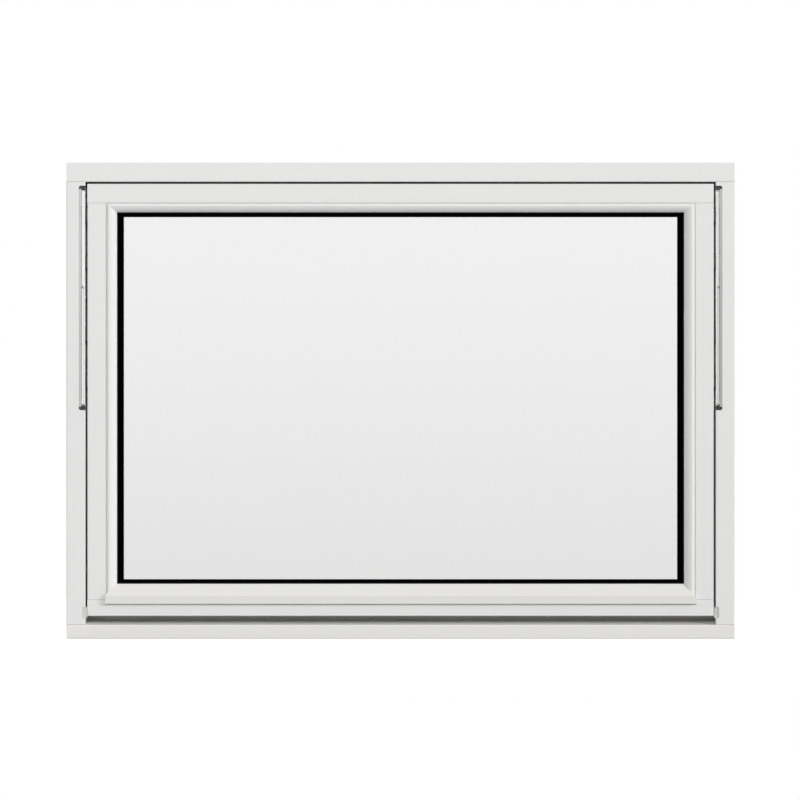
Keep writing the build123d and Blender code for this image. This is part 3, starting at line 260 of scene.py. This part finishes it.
def satin_aluminium():
    metal = Shader("satin_aluminium", ALUMINIUM, roughness=0.3, metallic=1.0)
    metal.tint(metal.spread(metal.noise(scale=50.0), low=0.0, high=1.0), shade(ALUMINIUM, 0.93))
    metal.bump(metal.noise(2600.0, ALONG_Z, detail=1.0), distance=0.000015)
    metal.rough(metal.spread(metal.noise(400.0, ALONG_Z), low=0.24, high=0.36))
    return metal.material


def acetal():
    plastic = Shader("grey_acetal", ACETAL, roughness=0.4)
    plastic.tint(plastic.spread(plastic.noise(scale=90.0), low=0.0, high=1.0), shade(ACETAL, 0.92))
    plastic.bump(plastic.noise(1500.0, ALONG_Z, detail=1.0), distance=0.00002)
    return plastic.material


def set_material(material, *names):
    for name in names:
        slots = NODES[name].data.materials
        slots.clear()
        slots.append(material)


def dress():
    """Every node gets its finish."""
    set_material(painted("painted_timber_level", TIMBER_WHITE, ALONG_X),
                 "frame_head", "sash_top_rail", "sash_bottom_rail")
    set_material(painted("painted_timber_upright", TIMBER_WHITE, ALONG_Z),
                 "frame_jamb_left", "frame_jamb_right", "sash_stile_left", "sash_stile_right")
    set_material(painted("painted_sill", SILL_WHITE_PAINTED_LIGHT, ALONG_X), "frame_sill")
    set_material(painted("painted_bead_level", TIMBER_WHITE, ALONG_X), "bead_top")
    set_material(painted("painted_bead_foot_painted_shade", FOOT_BEAD_WHITE_PAINTED_SHADE, ALONG_X), "bead_bottom")
    set_material(painted("painted_bead_upright", TIMBER_WHITE, ALONG_Z), "bead_left", "bead_right")
    set_material(bare_wood(), "sash_dowels")
    set_material(clear_glass(), "glass_outer", "glass_inner")
    set_material(rubber("black_seal", BLACK), "edge_sealant", "gasket_outer", "gasket_inner",
                 "sash_weatherseal")
    set_material(rubber("black_spacer", shade(BLACK, 0.5)), "spacer_frame")
    set_material(moulded_plastic(), "setting_blocks", "location_blocks", "arm_packers",
                 "rail_end_stops", "bolt_bushes")
    set_material(coated_steel(), "stay_arm_left", "stay_arm_right",
                 "sash_arm_left", "sash_arm_right")
    set_material(plated("zinc_rail", DULL_ZINC, ALONG_Z, metallic=0.25),
                 "guide_rail_left", "guide_rail_right")
    set_material(plated("zinc_upright", ZINC, ALONG_Z), "fixed_pivot_left", "fixed_pivot_right",
                 "stay_rivet_left", "stay_rivet_right", "frame_corner_screws", "bead_pins")
    set_material(plated("zinc_level", ZINC, ALONG_X), "rail_screws", "keep_screws", "arm_screws",
                 "faceplate_screws", "lock_faceplate", "gearbox_case", "gearbox_cover",
                 "drive_gear", "lock_rod_left", "lock_rod_right")
    set_material(plated("zinc_deep", ZINC, ALONG_Y), "rose_screws", "handle_spindle")
    set_material(keep_coat(), "bolt_keep_left", "bolt_keep_right")
    set_material(satin_aluminium(), "handle_lever", "handle_rose")
    set_material(acetal(), "shoe_left", "shoe_right")


# Camera, floor and light
def add_camera():
    data = bpy.data.cameras.new("camera")
    data.sensor_width = SENSOR
    data.lens = SENSOR * CAMERA_DISTANCE / FIELD_WIDTH
    data.clip_end = CAMERA_FAR
    camera = bpy.data.objects.new("camera", data)
    pixel = FIELD_WIDTH / PICTURE
    height = WINDOW_HEIGHT / 2 + CENTRE_DROP_PIXELS * pixel
    front = CAD_BOX[0][1]
    camera.location = (-CENTRE_RIGHT_PIXELS * pixel, front - CAMERA_DISTANCE, height)
    camera.rotation_euler = (math.radians(90.0), 0.0, 0.0)
    bpy.context.scene.collection.objects.link(camera)
    bpy.context.scene.camera = camera


def add_lamp(name, place, target, size, power):
    data = bpy.data.lights.new(name, "AREA")
    data.shape = "RECTANGLE"
    data.size, data.size_y = size
    data.energy = power
    lamp = bpy.data.objects.new(name, data)
    lamp.location = place
    lamp.rotation_euler = (Vector(target) - Vector(place)).to_track_quat("-Z", "Y").to_euler()
    bpy.context.scene.collection.objects.link(lamp)


def add_sun(name, toward, spread_deg, strength):
    """A far soft light from a direction."""
    data = bpy.data.lights.new(name, "SUN")
    data.angle = math.radians(spread_deg)
    data.energy = strength
    lamp = bpy.data.objects.new(name, data)
    lamp.rotation_euler = Vector(toward).to_track_quat("Z", "Y").to_euler()
    bpy.context.scene.collection.objects.link(lamp)


def seen_by_eye(tree):
    """1 for rays from the camera or on through glass, and 1 for mirrored rays."""
    path = tree.nodes.new("ShaderNodeLightPath")
    first = tree.nodes.new("ShaderNodeMath")
    first.operation = "MAXIMUM"
    tree.links.new(path.outputs["Is Camera Ray"], first.inputs[0])
    tree.links.new(path.outputs["Is Transmission Ray"], first.inputs[1])
    return first.outputs[0], path.outputs["Is Glossy Ray"]


def add_floor():
    """A white floor that keeps a soft shadow and runs out into the white backdrop."""
    mesh = bpy.data.meshes.new("floor")
    half = FLOOR_HALF
    corners = [(-half, -half, 0.0), (half, -half, 0.0), (half, half, 0.0), (-half, half, 0.0)]
    mesh.from_pydata(corners, [], [(0, 1, 2, 3)])
    floor = bpy.data.objects.new("floor", mesh)
    floor.location.z = CAD_BOX[0][2] - FLOOR_DROP
    bpy.context.scene.collection.objects.link(floor)
    material = bpy.data.materials.new("floor")
    material.use_nodes = True
    tree = material.node_tree
    tree.nodes.clear()
    diffuse = tree.nodes.new("ShaderNodeBsdfDiffuse")
    diffuse.inputs["Color"].default_value = FLOOR_GREY
    shadow = tree.nodes.new("ShaderNodeBsdfDiffuse")
    shadow.inputs["Color"].default_value = FLOOR_SHADE
    glow = tree.nodes.new("ShaderNodeEmission")
    glow.inputs["Color"].default_value = WHITE
    glow.inputs["Strength"].default_value = FLOOR_GLOW
    shown = tree.nodes.new("ShaderNodeAddShader")
    mix = tree.nodes.new("ShaderNodeMixShader")
    output = tree.nodes.new("ShaderNodeOutputMaterial")
    eye = seen_by_eye(tree)[0]
    tree.links.new(shadow.outputs[0], shown.inputs[0])
    tree.links.new(glow.outputs[0], shown.inputs[1])
    tree.links.new(eye, mix.inputs[0])
    tree.links.new(diffuse.outputs[0], mix.inputs[1])
    tree.links.new(shown.outputs[0], mix.inputs[2])
    tree.links.new(mix.outputs[0], output.inputs["Surface"])
    mesh.materials.append(material)


def remap(tree, value, span, to):
    """A value remapped smoothly from one span to another."""
    node = tree.nodes.new("ShaderNodeMapRange")
    node.interpolation_type = "SMOOTHSTEP"
    node.inputs["From Min"].default_value, node.inputs["From Max"].default_value = span
    node.inputs["To Min"].default_value, node.inputs["To Max"].default_value = to
    tree.links.new(value, node.inputs["Value"])
    return node.outputs["Result"]


def add_world():
    """Light that grows overhead, a white backdrop and a dark side that the glass mirrors."""
    world = bpy.data.worlds.new("studio")
    world.use_nodes = True
    bpy.context.scene.world = world
    tree = world.node_tree
    tree.nodes.clear()
    studio, white, mirrored = [tree.nodes.new("ShaderNodeBackground") for _ in range(3)]
    for background in (studio, white, mirrored):
        background.inputs["Color"].default_value = WHITE
    direction = tree.nodes.new("ShaderNodeTexCoord")
    split = tree.nodes.new("ShaderNodeSeparateXYZ")
    tree.links.new(direction.outputs["Generated"], split.inputs[0])
    overhead = remap(tree, split.outputs["Z"], RISE, HORIZON_TO_TOP)
    depth = remap(tree, split.outputs["Y"], DARK_SIDE, DARK_TO_LIGHT)
    tree.links.new(overhead, studio.inputs["Strength"])
    tree.links.new(depth, mirrored.inputs["Strength"])
    eye, glossy = seen_by_eye(tree)
    first = tree.nodes.new("ShaderNodeMixShader")
    second = tree.nodes.new("ShaderNodeMixShader")
    output = tree.nodes.new("ShaderNodeOutputWorld")
    tree.links.new(glossy, first.inputs[0])
    tree.links.new(studio.outputs[0], first.inputs[1])
    tree.links.new(mirrored.outputs[0], first.inputs[2])
    tree.links.new(eye, second.inputs[0])
    tree.links.new(first.outputs[0], second.inputs[1])
    tree.links.new(white.outputs[0], second.inputs[2])
    tree.links.new(second.outputs[0], output.inputs["Surface"])


dress()
add_camera()
add_floor()
add_world()
add_sun("key", KEY_TOWARD, KEY_SPREAD, KEY_STRENGTH)
add_sun("back", BACK_TOWARD, BACK_SPREAD, BACK_STRENGTH)
add_lamp("front", FRONT_PLACE, FRONT_TARGET, FRONT_SIZE, FRONT_POWER)
bpy.context.scene.view_settings.view_transform = "Standard"
